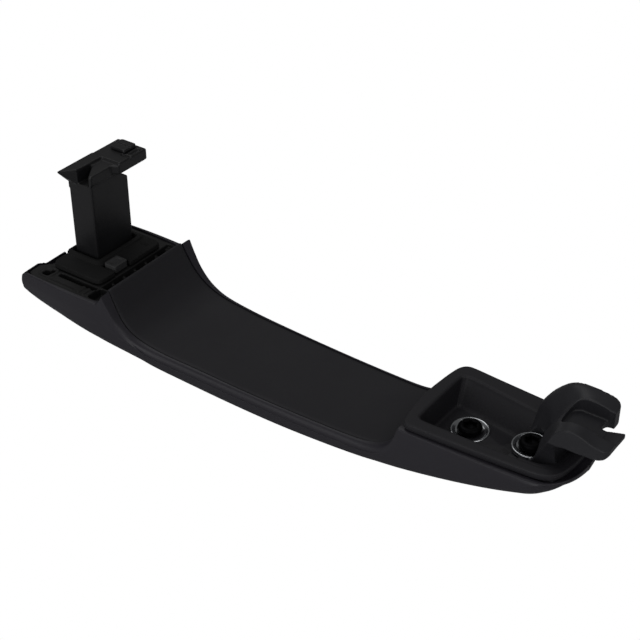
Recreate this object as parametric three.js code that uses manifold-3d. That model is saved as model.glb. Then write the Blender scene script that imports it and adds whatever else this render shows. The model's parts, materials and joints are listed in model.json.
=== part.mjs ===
// Pull-type exterior car door handle, lying on its bowed outer face.
// Millimetres, +Z up. X runs along the grip: -X is the end with the actuating arm, +X the end
// with the pivot claw. Y is the width. Z = 0 is the lowest point of the outer face, and the plane
// z = DOOR_Z is where both ends of the grip bear on the door skin.
import * as THREE from 'three';
import { mergeVertices } from 'three/addons/utils/BufferGeometryUtils.js';
import Module from 'manifold-3d';

const wasm = await Module();
wasm.setup();

// ---- driving dimensions ---------------------------------------------------------------------
const DOOR_Z = 26.2;            // height of the door-side faces above the outer face
const BOW_CENTRE_X = -9.9;      // lowest point of the bow of the outer face
const BOW_RADIUS = 309;         // radius of that bow, seen from the side
const SHELL_WALL = 1.9;         // side wall of the outer shell
const SHELL_FLOOR = 2.6;        // thickness of the shell behind its outer face
const FIT_GAP = 0.3;            // gap between pieces that touch
const LINER_WALL = 2.2;         // thickness of the finger-side liner
const RIDGE_X = -70.5;          // crest of the liner's ridge at the arm end
const RIDGE_Z = DOOR_Z + 3.5;
const RIM_X = 45.5;             // finger-side edge of the pocket rim
const RIM_END_X = 97.6;
const RIM_DEPTH = 2.2;          // thickness of the rim plate round the pocket
const POCKET = {
  x0: 49.2, step: 76.2, flatEnd: 88, x1: 94.6,
  halfWidth: 12.6, depth: 9.6, stepDepth: 7.0, endDepth: 3.3,
};
const ARM = { x0: -100.5, x1: -89.8, y0: -3.8, y1: 14.7, shoulderZ: DOOR_Z + 29.3 };
const ARM_FLANGE = { reachX: 0.5, reachY: 4.2, z0: DOOR_Z - 7.8, z1: DOOR_Z - 6.5 };
const HEAD = { x0: -100.5, x1: -87.4, y0: -8.2, y1: 22.4, z0: DOOR_Z + 30.6, z1: DOOR_Z + 34.7 };
const PLATE = { x0: -104.6, x1: -73.0, halfWidth: 21.4, z0: DOOR_Z - 4.6, z1: DOOR_Z - 1.0 };
const PAD = { x0: -104.0, x1: -79.4, y0: -14.4, y1: 18.8, z0: DOOR_Z - 0.7, z1: DOOR_Z + 1.5 };
const PAD_CLEARANCE = 1.4;      // room round the arm for the swing of the grip
const BUFFER = { x0: -85.6, x1: -80.4, y0: -5.4, y1: 1.2, z1: DOOR_Z + 2.1 };
const HOOK_LAND = { y0: 15.4, rise: 0.3 };   // step under the far wing where the lever bears
const SLIDER = { x0: -97.6, x1: -90.4, y0: 14.6, y1: 21.2, height: 1.1 };
const POCKET_SCREW = { x: 60.1, seatZ: DOOR_Z - POCKET.depth };
const CLAW_SCREW = { x: 81.2, seatZ: DOOR_Z - 5.6 };
const ARM_SCREWS = { x: -95.1, ys: [-6.1, 17.0] };
const WASHER = { outer: 6.3, inner: 2.7, thickness: 1.1 };
const SCREW_LENGTH = 5.9;
const SCREW = { head: 4.5, headHeight: 2.2, shank: 2.2, socket: 2.0, socketDepth: 1.5 };
const INSERT = { outer: 3.1, bore: 2.4, seatZ: 15.9 };
const CLAW = {
  farY: 11, nearY: -11, slot: [-4, 5], slotX: 91.2, webX: 101.2, webZ: DOOR_Z + 10.4,
  farTipX: 103.2, nearTipX: 109.4, under: DOOR_Z + 8.6, top: DOOR_Z + 15.9,
};
const CLIP = { xs: [-44, 22], width: 9, height: 2.9, wall: 0.6, inset: 4.6, depth: 2.6, z0: 6.2 };

// ---- helpers --------------------------------------------------------------------------------
const V2 = (x, y) => new THREE.Vector2(x, y);

// Falls from 1 to 0 along a quarter of a superellipse while t runs from 0 to 1.
const quarterRound = (t, power) => (1 - Math.min(1, t) ** power) ** (1 / power);

// A closed three.js geometry as a solid that can be joined and cut.
function solid(geometry) {
  const g = geometry.clone();
  for (const name of Object.keys(g.attributes)) if (name !== 'position') g.deleteAttribute(name);
  const merged = mergeVertices(g, 1e-4);
  const index = merged.index ? merged.index.array : merged.attributes.position.array.map((_, i) => i);
  return new wasm.Manifold(new wasm.Mesh({
    numProp: 3,
    vertProperties: new Float32Array(merged.attributes.position.array),
    triVerts: new Uint32Array(index),
  }));
}

// The solid's surface back as a three.js geometry.
function geometryOf(manifold) {
  const mesh = manifold.getMesh();
  const g = new THREE.BufferGeometry();
  g.setAttribute('position', new THREE.BufferAttribute(new Float32Array(mesh.vertProperties), 3));
  g.setIndex(new THREE.BufferAttribute(new Uint32Array(mesh.triVerts), 1));
  g.computeVertexNormals();
  return g;
}

function box(x0, x1, y0, y1, z0, z1) {
  const g = new THREE.BoxGeometry(x1 - x0, y1 - y0, z1 - z0);
  g.translate((x0 + x1) / 2, (y0 + y1) / 2, (z0 + z1) / 2);
  return solid(g);
}

function cylinder(radius, x, y, z0, z1, sides = 28) {
  const g = new THREE.CylinderGeometry(radius, radius, z1 - z0, sides);
  g.rotateX(Math.PI / 2);
  g.translate(x, y, (z0 + z1) / 2);
  return solid(g);
}

// A side profile (x, z) carried across the width, from y0 to y1.
function acrossWidth(shape, y0, y1, curveSegments = 10) {
  const g = new THREE.ExtrudeGeometry(shape, { depth: y1 - y0, bevelEnabled: false, curveSegments });
  g.rotateX(Math.PI / 2);
  g.translate(0, y1, 0);
  return solid(g);
}

// A plan outline (x, y) carried upward, from z0 to z1.
function upright(shape, z0, z1, curveSegments = 8) {
  const g = new THREE.ExtrudeGeometry(shape, { depth: z1 - z0, bevelEnabled: false, curveSegments });
  g.translate(0, 0, z0);
  return solid(g);
}

function roundedRectangle(x0, x1, y0, y1, radius) {
  const s = new THREE.Shape();
  s.moveTo(x0 + radius, y0);
  s.lineTo(x1 - radius, y0);
  s.absarc(x1 - radius, y0 + radius, radius, -Math.PI / 2, 0);
  s.lineTo(x1, y1 - radius);
  s.absarc(x1 - radius, y1 - radius, radius, 0, Math.PI / 2);
  s.lineTo(x0 + radius, y1);
  s.absarc(x0 + radius, y1 - radius, radius, Math.PI / 2, Math.PI);
  s.lineTo(x0, y0 + radius);
  s.absarc(x0 + radius, y0 + radius, radius, Math.PI, Math.PI * 1.5);
  return s;
}

// ---- outline of the grip ---------------------------------------------------------------------
// Half width of the outer skin along the grip: broad at the arm end, slim at the claw end.
const WIDTH_CURVE = new THREE.SplineCurve([
  V2(-104, 23.4), V2(-90, 24.1), V2(-76, 23.9), V2(-60, 22.3), V2(-40, 20.8),
  V2(-15, 20), V2(20, 19.2), V2(50, 18.7), V2(75, 18.2), V2(90, 17.4),
]);
const END = {
  left: -109.4, leftStart: -105.6, leftPower: 2.6, leftRise: -101,
  right: 100.8, rightStart: 88, rightPower: 2.6,
};

function widthAlong(x) {
  const points = WIDTH_CURVE.getPoints(60);
  if (x <= points[0].x) return points[0].y;
  for (let i = 1; i < points.length; i++) {
    if (x <= points[i].x) {
      const t = (x - points[i - 1].x) / (points[i].x - points[i - 1].x);
      return points[i - 1].y + t * (points[i].y - points[i - 1].y);
    }
  }
  return points[points.length - 1].y;
}

// The ends are rounded in plan as super-ellipses of the given power.
function halfWidth(x, inset = 0) {
  let factor = 1;
  const left = END.left + inset;
  const right = END.right - inset;
  if (x < END.leftStart) {
    factor = quarterRound((END.leftStart - x) / (END.leftStart - left), END.leftPower);
  }
  if (x > END.rightStart) {
    factor = quarterRound((x - END.rightStart) / (right - END.rightStart), END.rightPower);
  }
  return Math.max(0.6, (widthAlong(x) - inset) * factor);
}

// Height of the outer face on the centre line: a shallow bow, turned up at both ends.
function outerFace(x, inset = 0) {
  const bow = (x - BOW_CENTRE_X) ** 2 / (2 * BOW_RADIUS);
  const upLeft = Math.max(0, END.leftRise + inset - x) / (END.leftRise - END.left);
  const upRight = Math.max(0, x - END.rightStart + inset) / (END.right - END.rightStart);
  return Math.min(bow + 6.5 * upLeft ** 2.4 + 4.5 * upRight ** 2.4, DOOR_Z - 4.5);
}

// One cross-section of the grip at x, as a closed ring in (y, z): straight sides, round lower
// corners and a slightly crowned outer face.
function section(x, inset, floorInset, topZ) {
  const w = halfWidth(x, inset);
  const low = outerFace(x, inset) + floorInset;
  const corner = Math.max(0.4, Math.min(8.5 - inset, w * 0.8, (DOOR_Z - 1 - low) * 0.6));
  const crown = Math.min(0.9, w * 0.05);
  const half = [];
  const steps = 5;
  for (let i = 0; i <= steps; i++) {
    const a = (i / steps) * Math.PI / 2;
    half.push([w - corner + corner * Math.cos(a), low + crown + corner - corner * Math.sin(a)]);
  }
  half.push([(w - corner) * 0.5, low + crown * 0.3]);
  const right = [[w, topZ], ...half];
  const ring = right.map(([y, z]) => new THREE.Vector3(x, y, z));
  ring.push(new THREE.Vector3(x, 0, low));
  for (const [y, z] of right.reverse()) ring.push(new THREE.Vector3(x, -y, z));
  return ring;
}

// A closed solid through cross-section rings that have equal numbers of points.
function loft(rings) {
  const count = rings[0].length;
  const positions = rings.flat().flatMap((p) => [p.x, p.y, p.z]);
  const index = [];
  for (let r = 0; r + 1 < rings.length; r++) {
    for (let i = 0; i < count; i++) {
      const a = r * count + i;
      const b = r * count + ((i + 1) % count);
      index.push(a, a + count, b, b, a + count, b + count);
    }
  }
  // Every ring is convex, so each end closes as a fan about its own middle.
  const cap = (ring, start, flip) => {
    const middle = ring.reduce((sum, p) => sum.add(p), new THREE.Vector3()).divideScalar(count);
    const hub = positions.length / 3;
    positions.push(middle.x, middle.y, middle.z);
    for (let i = 0; i < count; i++) {
      const a = start + i;
      const b = start + ((i + 1) % count);
      index.push(...(flip ? [hub, b, a] : [hub, a, b]));
    }
  };
  cap(rings[0], 0, false);
  cap(rings[rings.length - 1], (rings.length - 1) * count, true);
  const g = new THREE.BufferGeometry();
  g.setAttribute('position', new THREE.Float32BufferAttribute(positions, 3));
  g.setIndex(index);
  const made = solid(g);
  if (made.volume() > 0) return made;
  g.setIndex(index.slice().reverse());
  return solid(g);
}

function stations(from, to, step) {
  const count = Math.max(1, Math.round((to - from) / step));
  return Array.from({ length: count + 1 }, (_, i) => from + ((to - from) * i) / count);
}

function gripBody(inset, floorInset, topZ) {
  const left = END.left + inset;
  const right = END.right - inset;
  const xs = [
    ...[0.08, 0.35, 0.8, 1.5, 2.4].map((d) => left + d), ...stations(END.leftStart + 1, END.rightStart, 7),
    ...[7.5, 5.0, 3.0, 1.6, 0.7, 0.15].map((d) => right - d),
  ];
  return loft(xs.map((x) => section(x, inset, floorInset, topZ)));
}

// ---- the finger side -------------------------------------------------------------------------
// The finger surface in side view, from the ridge to the pocket rim, lowered by drop.
function fingerLine(drop) {
  const path = new THREE.Path();
  path.moveTo(RIDGE_X, RIDGE_Z - drop);
  path.quadraticCurveTo(-62, 12.9 - drop, -44.5, 12.7 - drop);
  path.quadraticCurveTo(-8, 10.4 - drop, 28, 11.7 - drop);
  path.quadraticCurveTo(RIM_X - 2, 11.9 - drop, RIM_X, DOOR_Z - 2.4 - drop);
  return path.getPoints(9);
}

// Everything above the finger surface, as a cutter.
function fingerSpace(drop, x1 = RIM_X) {
  const line = fingerLine(drop);
  const top = DOOR_Z + 30;
  const s = new THREE.Shape();
  s.moveTo(RIDGE_X - 3.2, top);
  s.lineTo(RIDGE_X - 3.2, RIDGE_Z - drop);
  for (const p of line) s.lineTo(p.x, p.y);
  s.lineTo(x1, top);
  return acrossWidth(s, -60, 60);
}

// ---- materials -------------------------------------------------------------------------------
const material = (color, roughness, metalness = 0) =>
  new THREE.MeshStandardMaterial({ color, roughness, metalness });
const SATIN_SHELL = material('#343338', 0.42);
const GRAINED_LINER = material('#232326', 0.62);
const CARRIER_NYLON = material('#1d1d1f', 0.7);
const ARM_PLASTIC = material('#17171a', 0.45);
const SEAL_RUBBER = material('#161617', 0.85);
const CLAW_PLASTIC = material('#2c2f34', 0.5);
const ZINC_PLATE = material('#c9ccd0', 0.28, 1);
const BLACK_STEEL = material('#2a2a2c', 0.4, 1);
const BRASS = material('#b08d4a', 0.35, 1);
const SPRING_STEEL = material('#6d7076', 0.4, 1);

const group = new THREE.Group();
function add(name, manifold, finish) {
  const mesh = new THREE.Mesh(geometryOf(manifold), finish);
  mesh.name = name;
  group.add(mesh);
  return manifold;
}

// ---- outer shell: one thin moulded skin, open on the door side ---------------------------------
const RIM_SEAT_Z = DOOR_Z - RIM_DEPTH - FIT_GAP;
function outerShell() {
  const skin = gripBody(0, 0, DOOR_Z).subtract(gripBody(SHELL_WALL, SHELL_FLOOR, DOOR_Z + 5));
  const arcLine = fingerSpace(0.35);
  const underRim = box(RIM_X - 6, 130, -40, 40, RIM_SEAT_Z, 80);
  const endNotch = box(-130, -104, -10.5, 10.5, DOOR_Z - 2.6, 80);
  return skin.subtract(arcLine).subtract(underRim).subtract(endNotch)
    .subtract(cylinder(INSERT.outer + FIT_GAP, CLAW_SCREW.x, 0, INSERT.seatZ, 60));
}

// ---- grip liner: ridge, finger surface and the pocket block in one moulding --------------------
function linerStrip() {
  const top = fingerLine(0);
  const s = new THREE.Shape();
  s.moveTo(RIDGE_X - 1.9, DOOR_Z - 7.5);
  s.lineTo(RIDGE_X - 1.9, RIDGE_Z - 1.0);
  s.lineTo(RIDGE_X - 0.7, RIDGE_Z);
  for (const p of top) s.lineTo(p.x, p.y);
  s.lineTo(RIM_X + 3, DOOR_Z - 2.4);
  s.lineTo(RIM_X + 3, 9.6);
  for (let i = top.length - 7; i > 0; i--) {
    const tangent = top[i + 1].clone().sub(top[i - 1]).normalize();
    s.lineTo(top[i].x + tangent.y * LINER_WALL, top[i].y - tangent.x * LINER_WALL);
  }
  return acrossWidth(s, -60, 60);
}

function gripLiner() {
  const inside = gripBody(SHELL_WALL + FIT_GAP, SHELL_FLOOR + 0.5, RIDGE_Z + 6);
  const strip = linerStrip().intersect(inside);
  const wellFloor = DOOR_Z - POCKET.depth;
  const block = gripBody(SHELL_WALL + FIT_GAP, SHELL_FLOOR + 0.5, DOOR_Z)
    .intersect(box(RIM_X - 2, RIM_END_X, -POCKET.halfWidth - 2, POCKET.halfWidth + 2,
      wellFloor - 2, DOOR_Z));
  const rimSlab = box(RIM_X, RIM_END_X, -40, 40, RIM_SEAT_Z + FIT_GAP, DOOR_Z);
  const rim = gripBody(0.6, 0, DOOR_Z).intersect(rimSlab);
  return strip.add(block).add(rim).subtract(fingerSpace(0)).subtract(pocketWell())
    .subtract(cylinder(SCREW.shank + 0.4, POCKET_SCREW.x, 0, 0, 60))
    .subtract(cylinder(INSERT.outer + FIT_GAP, CLAW_SCREW.x, 0, 0, 60));
}

// Floor of the claw end of the well, a flat step that turns up towards the end of the grip.
function stepZ(x) {
  const rise = (Math.max(0, x - POCKET.flatEnd) * (POCKET.stepDepth - POCKET.endDepth));
  return DOOR_Z - POCKET.stepDepth + rise / (POCKET.x1 - POCKET.flatEnd);
}

// The open well: deep and flat at the first screw, then a raised ramp that carries the claw.
function pocketWell() {
  const deep = upright(roundedRectangle(POCKET.x0, POCKET.step + 4, -POCKET.halfWidth, POCKET.halfWidth, 2.5),
    DOOR_Z - POCKET.depth, 80).intersect(box(0, POCKET.step, -40, 40, 0, 90));
  const ramp = new THREE.Shape();
  ramp.moveTo(POCKET.step - 0.1, stepZ(0));
  ramp.lineTo(POCKET.flatEnd, stepZ(POCKET.flatEnd));
  ramp.lineTo(POCKET.x1, stepZ(POCKET.x1));
  ramp.lineTo(POCKET.x1, 80);
  ramp.lineTo(POCKET.step - 0.1, 80);
  const outline = roundedRectangle(POCKET.step - 8, POCKET.x1, -POCKET.halfWidth, POCKET.halfWidth, 4.5);
  const plan = upright(outline, 0, 90);
  return deep.add(acrossWidth(ramp, -40, 40).intersect(plan));
}

// ---- carrier beam: the ribbed spine between shell and liner -------------------------------------
function carrierBeam() {
  const inside = gripBody(SHELL_WALL + FIT_GAP, SHELL_FLOOR + FIT_GAP, DOOR_Z);
  const drop = LINER_WALL + FIT_GAP;
  const top = fingerLine(0);
  const s = new THREE.Shape();
  s.moveTo(-106.5, 0);
  s.lineTo(-106.5, PLATE.z0 - FIT_GAP);
  s.lineTo(RIDGE_X - 2.3, PLATE.z0 - FIT_GAP);
  s.lineTo(RIDGE_X - 2.3, DOOR_Z - 8.0);
  for (let i = 4; i < top.length - 7; i++) {
    const tangent = top[i + 1].clone().sub(top[i - 1]).normalize();
    s.lineTo(top[i].x + tangent.y * drop, top[i].y - tangent.x * drop);
  }
  s.lineTo(42.6, 9.1);
  s.lineTo(RIM_X + 3.4, 9.1);
  s.lineTo(RIM_X + 3.4, DOOR_Z - POCKET.depth - 2.3);
  s.lineTo(71, DOOR_Z - POCKET.depth - 2.3);
  s.lineTo(71, 0);
  let beam = acrossWidth(s, -60, 60).intersect(inside);
  // Lightening pockets on both sides of a centre rib, open towards the liner.
  for (let i = 0; i < 6; i++) {
    const x = -52 + i * 15;
    for (const y of [-12, 1.2]) {
      beam = beam.subtract(box(x, x + 12.5, y, y + 10.8, outerFace(x + 6) + 4.6, 40));
    }
  }
  for (const y of [-17.5, 20.2 - 4]) beam = beam.subtract(box(-86, -75, y, y + 1.6 + 2, 17.5, 40));
  for (const x of CLIP.xs) {
    for (const side of [-1, 1]) {
      const w = halfWidth(x) - SHELL_WALL;
      beam = beam.subtract(box(x - CLIP.width / 2 - 0.6, x + CLIP.width / 2 + 0.6,
        ...[side * (w - CLIP.inset - CLIP.depth - 0.4), side * (w + 2)].sort((p, q) => p - q),
        CLIP.z0 - 0.3, 40));
    }
  }
  const socket = box(ARM.x0 - ARM_FLANGE.reachX - 0.3, ARM.x1 + ARM_FLANGE.reachX + 0.3,
    ARM.y0 - ARM_FLANGE.reachY - 0.3, ARM.y1 + ARM_FLANGE.reachY + 0.3, ARM_FLANGE.z0 - FIT_GAP, 60);
  beam = beam.subtract(socket);
  for (const y of ARM_SCREWS.ys) {
    beam = beam.subtract(cylinder(1.4, ARM_SCREWS.x, y, ARM_FLANGE.z0 - 3, 60, 20));
  }
  return beam.subtract(cylinder(INSERT.outer + FIT_GAP, POCKET_SCREW.x, 0, 0, 60));
}

// ---- foot plate: closes the arm end of the shell round the arm -----------------------------------
function footPlate() {
  const inside = gripBody(SHELL_WALL + FIT_GAP, SHELL_FLOOR, DOOR_Z);
  let plate = box(PLATE.x0, PLATE.x1, -PLATE.halfWidth, PLATE.halfWidth, PLATE.z0, PLATE.z1);
  plate = plate.intersect(inside);
  const around = FIT_GAP + 0.1;
  plate = plate.subtract(box(ARM.x0 - around, ARM.x1 + around, ARM.y0 - around, ARM.y1 + around, 0, 60));
  // Keyhole slot, the near groove and the row of tooth slots beside the ridge.
  plate = plate.subtract(box(-102.2, -99.0, -19.2, -15.6, PLATE.z1 - 1.6, 60));
  plate = plate.subtract(box(-96.5, -80.5, -16.6, -15.0, PLATE.z1 - 1.4, 60));
  for (let i = 0; i < 5; i++) {
    const y = -13 + i * 6.2;
    plate = plate.subtract(box(-78.6, -75.0, y, y + 4.2, PLATE.z1 - 2.0, 60));
  }
  for (let i = 0; i < 3; i++) {
    plate = plate.add(box(-83.6 + i * 2.6, -82.4 + i * 2.6, -20.2, -17.4, PLATE.z1 - 0.5, PLATE.z1 + 0.6));
  }
  return plate;
}

// ---- arm with its T-shaped hook head -------------------------------------------------------------
function actuatingArm() {
  const flange = box(ARM.x0 - ARM_FLANGE.reachX, ARM.x1 + ARM_FLANGE.reachX, ARM.y0 - ARM_FLANGE.reachY,
    ARM.y1 + ARM_FLANGE.reachY, ARM_FLANGE.z0, ARM_FLANGE.z1);
  const column = box(ARM.x0, ARM.x1, ARM.y0, ARM.y1, ARM_FLANGE.z1 - 1, ARM.shoulderZ);
  const neck = box(ARM.x0, ARM.x1 + 0.2, ARM.y0, 9.5, ARM.shoulderZ - 1, HEAD.z0 + 1);
  const plan = new THREE.Shape();
  plan.moveTo(HEAD.x0, HEAD.y0);
  plan.lineTo(HEAD.x0 + 4.5, HEAD.y0 + 0.6);
  plan.lineTo(HEAD.x1 - 1.4, ARM.y0 + 0.2);
  plan.lineTo(HEAD.x1 - 1.4, 7.5);
  plan.lineTo(HEAD.x1, 8.6);
  plan.lineTo(HEAD.x1, HEAD.y1 - 0.8);
  plan.lineTo(HEAD.x1 - 0.8, HEAD.y1);
  plan.lineTo(HEAD.x0, HEAD.y1);
  const head = upright(plan, HEAD.z0, HEAD.z1);
  // Gusset under the near wing, leaning back to the column.
  const web = new THREE.Shape();
  web.moveTo(HEAD.y0 + 0.3, HEAD.z0 + 0.5);
  web.lineTo(ARM.y0 + 0.5, HEAD.z0 + 0.5);
  web.lineTo(ARM.y0 + 0.5, ARM.shoulderZ - 4.5);
  web.lineTo(ARM.y0, ARM.shoulderZ - 4.5);
  const g = new THREE.ExtrudeGeometry(web, { depth: 4.2, bevelEnabled: false });
  g.rotateX(Math.PI / 2);
  g.rotateZ(Math.PI / 2);
  g.translate(ARM.x0, 0, 0);
  let arm = flange.add(column).add(neck).add(head).add(solid(g));
  // The flat land under the far wing, a little above the rest of the underside.
  arm = arm.subtract(box(HEAD.x0 - 1, HEAD.x1 + 1, HOOK_LAND.y0, HEAD.y1 + 1,
    HEAD.z0 - 1, HEAD.z0 + HOOK_LAND.rise));
  // The step across the top of the head, and the three-cornered pocket beside the near wing.
  arm = arm.subtract(box(HEAD.x0 + 5.2, HEAD.x1 + 1, ARM.y0 - 3, 8.2, HEAD.z1 - 0.9, 90));
  const pocket = new THREE.Shape();
  pocket.moveTo(HEAD.x0 + 4.5, HEAD.y0 - 1);
  pocket.lineTo(ARM.x1 - 1.2, HEAD.y0 - 1);
  pocket.lineTo(ARM.x1 - 1.2, ARM.y0);
  pocket.lineTo(HEAD.x0 + 4.1, 3.6);
  arm = arm.subtract(upright(pocket, ARM.shoulderZ + 0.3, 90));
  for (const y of ARM_SCREWS.ys) {
    arm = arm.subtract(cylinder(1.5, ARM_SCREWS.x, y, 0, ARM_FLANGE.z1 + 0.01, 20));
  }
  return arm;
}

// ---- pivot claw ------------------------------------------------------------------------------------
function pivotClaw() {
  const side = new THREE.Shape();
  side.moveTo(POCKET.step + 0.5, stepZ(0) + FIT_GAP);
  side.lineTo(POCKET.flatEnd - 0.2, stepZ(0) + FIT_GAP);
  side.lineTo(93.6, stepZ(93.6) + FIT_GAP);
  side.lineTo(92.2, DOOR_Z + 2);
  side.quadraticCurveTo(92.0, CLAW.under - 0.4, 95.5, CLAW.under);
  side.lineTo(CLAW.nearTipX - 4, CLAW.under);
  side.quadraticCurveTo(CLAW.nearTipX, CLAW.under + 0.8, CLAW.nearTipX, CLAW.under + 2.4);
  side.lineTo(CLAW.nearTipX, CLAW.under + 4.6);
  side.quadraticCurveTo(CLAW.nearTipX - 2.5, CLAW.under + 6.0, CLAW.nearTipX - 6, CLAW.top - 0.8);
  side.quadraticCurveTo(98, CLAW.top, 94.5, CLAW.top - 0.6);
  side.quadraticCurveTo(91, CLAW.top - 2.6, 88.6, DOOR_Z + 8);
  side.quadraticCurveTo(86.4, DOOR_Z + 3, 85.6, CLAW_SCREW.seatZ + 2);
  side.quadraticCurveTo(85.2, CLAW_SCREW.seatZ, 83.6, CLAW_SCREW.seatZ);
  side.lineTo(POCKET.step + 0.5, CLAW_SCREW.seatZ);
  let claw = acrossWidth(side, CLAW.nearY, CLAW.farY, 6);
  // Far wing, rising earlier than the middle of the tongue.
  const wing = new THREE.Shape();
  wing.moveTo(POCKET.step + 0.8, stepZ(0) + FIT_GAP + 0.3);
  wing.lineTo(90, stepZ(90) + FIT_GAP + 0.3);
  wing.lineTo(94.5, CLAW.top - 2);
  wing.lineTo(94.5, CLAW.top - 0.1);
  wing.quadraticCurveTo(87, DOOR_Z + 15.6, 81.4, DOOR_Z + 9.1);
  wing.lineTo(78.0, DOOR_Z + 3.6);
  wing.lineTo(POCKET.step + 0.8, DOOR_Z - 2.2);
  claw = claw.add(acrossWidth(wing, 7.4, CLAW.farY, 6));
  // The far prong ends short of the near one, and the fork between them is open at the tip.
  claw = claw.subtract(box(CLAW.farTipX, 130, 1, 30, 0, 90));
  claw = claw.subtract(upright(roundedRectangle(CLAW.slotX, 130, ...CLAW.slot, 3.4), CLAW.webZ, 90));
  claw = claw.subtract(upright(roundedRectangle(CLAW.webX, 130, ...CLAW.slot, 3.4), 0, 90));
  // Rounded corners of the fork in plan.
  claw = claw.intersect(upright(roundedRectangle(60, CLAW.nearTipX + 0.01, CLAW.nearY, 40, 2.4), 0, 90));
  const farCorner = box(CLAW.farTipX - 4.4, 130, CLAW.farY - 4.4, 30, 0, 90)
    .subtract(cylinder(4.4, CLAW.farTipX - 4.4, CLAW.farY - 4.4, -1, 91, 32));
  claw = claw.subtract(farCorner);
  // Room for the near rim corner of the well, and the counterbore of the screw.
  claw = claw.subtract(cylinder(WASHER.outer + 0.5, CLAW_SCREW.x, 0, CLAW_SCREW.seatZ, 90, 32));
  return claw.subtract(cylinder(SCREW.shank + 0.4, CLAW_SCREW.x, 0, 0, 90, 20));
}

// ---- small pieces -----------------------------------------------------------------------------------
function sealPad() {
  const pad = upright(roundedRectangle(PAD.x0, PAD.x1, PAD.y0, PAD.y1, 3.2), PAD.z0, PAD.z1);
  const hole = upright(roundedRectangle(ARM.x0 - PAD_CLEARANCE, ARM.x1 + PAD_CLEARANCE,
    ARM.y0 - PAD_CLEARANCE, ARM.y1 + PAD_CLEARANCE, 1), 0, 90);
  const notch = box(BUFFER.x0 - 0.6, 0, BUFFER.y0 - 0.6, BUFFER.y1 + 0.6, 0, 90);
  return pad.subtract(hole).subtract(notch);
}

function turned(profile, x, y, z, sides = 28) {
  const g = new THREE.LatheGeometry(profile.map(([r, h]) => V2(r, h)), sides);
  g.rotateX(Math.PI / 2);
  g.translate(x, y, z);
  const made = solid(g);
  return made;
}

function washer({ x, seatZ }) {
  const z0 = seatZ + FIT_GAP;
  return cylinder(WASHER.outer, x, 0, z0, z0 + WASHER.thickness, 32)
    .subtract(cylinder(WASHER.inner, x, 0, 0, 90, 20));
}

function socketScrew(x, y, underHeadZ, length, size) {
  const socket = new THREE.Shape();
  for (let i = 0; i < 12; i++) {
    const r = size.socket * (i % 2 ? 0.72 : 1);
    const a = (i / 12) * Math.PI * 2;
    if (i) socket.lineTo(x + r * Math.cos(a), y + r * Math.sin(a));
    else socket.moveTo(x + r, y);
  }
  const top = underHeadZ + size.headHeight;
  return turned([[0, 0], [size.head * 0.94, 0], [size.head, 0.5], [size.head * 0.9, size.headHeight * 0.8],
    [size.head * 0.62, size.headHeight], [0, size.headHeight]], x, y, underHeadZ)
    .add(cylinder(size.shank, x, y, underHeadZ - length, underHeadZ + 0.2, 20))
    .subtract(upright(socket, top - size.socketDepth, top + 5));
}

function threadedInsert(x, z0, z1) {
  return cylinder(INSERT.outer, x, 0, z0, z1, 24).subtract(cylinder(INSERT.bore, x, 0, -10, 90, 20));
}

// Spring clip: a folded strip that grips between the carrier and the liner's edge.
function springClip(x, side) {
  const w = halfWidth(x) - SHELL_WALL;
  const [y0, y1] = [side * (w - CLIP.inset - CLIP.depth), side * (w - CLIP.inset)].sort((p, q) => p - q);
  const z0 = CLIP.z0;
  const outer = box(x - CLIP.width / 2, x + CLIP.width / 2, y0, y1, z0, z0 + CLIP.height);
  const inner = box(x - CLIP.width / 2 - 1, x + CLIP.width / 2 + 1, y0 + CLIP.wall, y1 - CLIP.wall,
    z0 + CLIP.wall, 40);
  return outer.subtract(inner);
}

add('outer_shell', outerShell(), SATIN_SHELL);
add('grip_liner', gripLiner(), GRAINED_LINER);
add('carrier_beam', carrierBeam(), CARRIER_NYLON);
add('foot_plate', footPlate(), CARRIER_NYLON);
add('foot_seal_pad', sealPad(), SEAL_RUBBER);
add('foot_buffer', box(BUFFER.x0, BUFFER.x1, BUFFER.y0, BUFFER.y1, PLATE.z1 + FIT_GAP, BUFFER.z1), SEAL_RUBBER);
add('actuating_arm', actuatingArm(), ARM_PLASTIC);
add('head_slider', box(SLIDER.x0, SLIDER.x1, SLIDER.y0, SLIDER.y1, HEAD.z1 + FIT_GAP,
  HEAD.z1 + FIT_GAP + SLIDER.height), CARRIER_NYLON);
ARM_SCREWS.ys.forEach((y, i) => {
  const size = { head: 2.2, headHeight: 1.6, shank: 1.1, socket: 1.1, socketDepth: 1.0 };
  add(`arm_screw_${i + 1}`, socketScrew(ARM_SCREWS.x, y, ARM_FLANGE.z1 + FIT_GAP, 3.4, size), BLACK_STEEL);
});
add('pivot_claw', pivotClaw(), CLAW_PLASTIC);
for (const [name, at] of [['pocket', POCKET_SCREW], ['claw', CLAW_SCREW]]) {
  add(`${name}_washer`, washer(at), ZINC_PLATE);
  const underHead = at.seatZ + 2 * FIT_GAP + WASHER.thickness;
  add(`${name}_screw`, socketScrew(at.x, 0, underHead, SCREW_LENGTH, SCREW), BLACK_STEEL);
}
add('pocket_insert', threadedInsert(POCKET_SCREW.x, 11.8, DOOR_Z - POCKET.depth - 2.3), BRASS);
add('claw_insert', threadedInsert(CLAW_SCREW.x, INSERT.seatZ + FIT_GAP, 18.9), BRASS);
let clipNumber = 1;
for (const x of CLIP.xs) {
  for (const side of [-1, 1]) add(`liner_clip_${clipNumber++}`, springClip(x, side), SPRING_STEEL);
}

export default group;
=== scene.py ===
"""Looks of a pull-type exterior car door handle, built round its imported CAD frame.

The handle lies on its bowed outer face. X runs along the grip from the arm end (-X) to the claw end
(+X), Y is the width and +Z points at the door. Shapes are worked out in millimetres and handed to
Blender in metres.
"""

import json
import logging
import math
from dataclasses import dataclass, field
from enum import Enum
from typing import Callable, Sequence

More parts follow.
